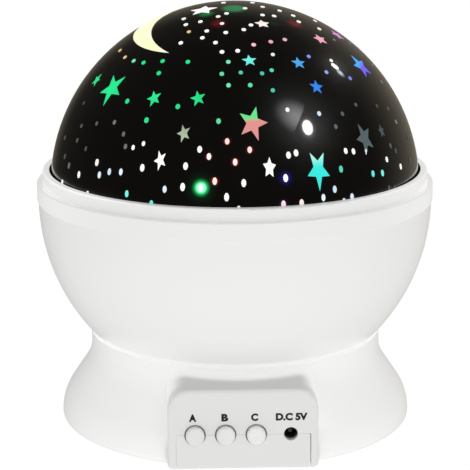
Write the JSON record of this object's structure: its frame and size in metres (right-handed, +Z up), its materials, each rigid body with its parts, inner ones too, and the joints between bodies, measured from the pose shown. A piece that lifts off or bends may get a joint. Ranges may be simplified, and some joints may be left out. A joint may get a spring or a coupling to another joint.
{
  "type": "star night light projector",
  "caption": "Star night light: a globe of white bowl, ring and black star dome that a geared motor turns on a flared base with push buttons and a DC inlet.",
  "frame": {"origin": "centre of the footprint on the table, on the globe's axis", "axes": "+Z up along the globe's axis, -Y towards the control face, +X to the right of someone who faces the controls"},
  "size_m": [0.125, 0.125, 0.134],
  "materials": {
    "white_shell": "glossy moulded ABS",
    "star_dome": "glossy black with clear star shapes",
    "foot_pad": "matte",
    "screw": "bright",
    "contact": "nickel plated",
    "cell": "printed jacket",
    "board": "solder mask",
    "black_part": "satin",
    "gear": "acetal",
    "motor_can": "drawn can",
    "lamp_white": "clear resin",
    "lamp_red": "tinted resin",
    "lamp_green": "tinted resin",
    "lamp_blue": "tinted resin"
  },
  "bodies": {
    "base": {"base_shell": "white_shell", "bottom_cover": "white_shell", "foot_pads": "foot_pad", "case_screws": "screw", "battery_cells": "cell", "battery_springs": "contact", "battery_contacts": "contact", "control_board": "board", "board_screws": "screw", "board_chip": "black_part", "board_capacitor": "black_part", "board_sockets": "gear", "tact_switches": "black_part", "inlet_jack": "black_part", "inlet_pin": "contact", "gear_motor": "motor_can", "motor_cap": "white_shell", "motor_screws": "screw", "lamp_post": "white_shell", "post_screws": "screw", "thrust_washer": "gear", "hub_clip": "black_part", "lamp_board": "board", "lamp_board_screws": "screw", "lamp_resistors": "black_part", "lamp_socket": "gear", "lamp_white": "lamp_white", "lamp_red": "lamp_red", "lamp_green": "lamp_green", "lamp_blue": "lamp_blue"},
    "door": {"battery_door": "white_shell", "door_screw": "screw"},
    "button_a_body": {"button_a": "white_shell"},
    "button_b_body": {"button_b": "white_shell"},
    "button_c_body": {"button_c": "white_shell"},
    "pinion": {"motor_shaft": "screw", "drive_pinion": "gear"},
    "globe": {"bowl": "white_shell", "drive_gear": "gear", "gear_screws": "screw", "dome_ring": "white_shell", "star_dome": "star_dome"}
  },
  "joints": [
    {"name": "globe_spin", "type": "hinge", "parent": "base", "child": "globe", "pos_m": [0, 0, 0.022], "axis": [0, 0, 1], "continuous": true},
    {"name": "pinion_spin", "type": "hinge", "parent": "base", "child": "pinion", "pos_m": [0, 0.02885, 0.02], "axis": [0, 0, 1], "continuous": true},
    {"name": "button_a_press", "type": "slide", "parent": "base", "child": "button_a_body", "axis": [0, 1, 0], "range_m": [0, 0.0009], "stiffness_N_per_m": 800},
    {"name": "button_b_press", "type": "slide", "parent": "base", "child": "button_b_body", "axis": [0, 1, 0], "range_m": [0, 0.0009], "stiffness_N_per_m": 800},
    {"name": "button_c_press", "type": "slide", "parent": "base", "child": "button_c_body", "axis": [0, 1, 0], "range_m": [0, 0.0009], "stiffness_N_per_m": 800},
    {"name": "battery_door_lift", "type": "slide", "parent": "base", "child": "door", "axis": [0, 0, -1], "range_m": [0, 0.03]}
  ],
  "couplings": [
    {"joint": "pinion_spin", "follows": "globe_spin", "ratio": -5}
  ]
}
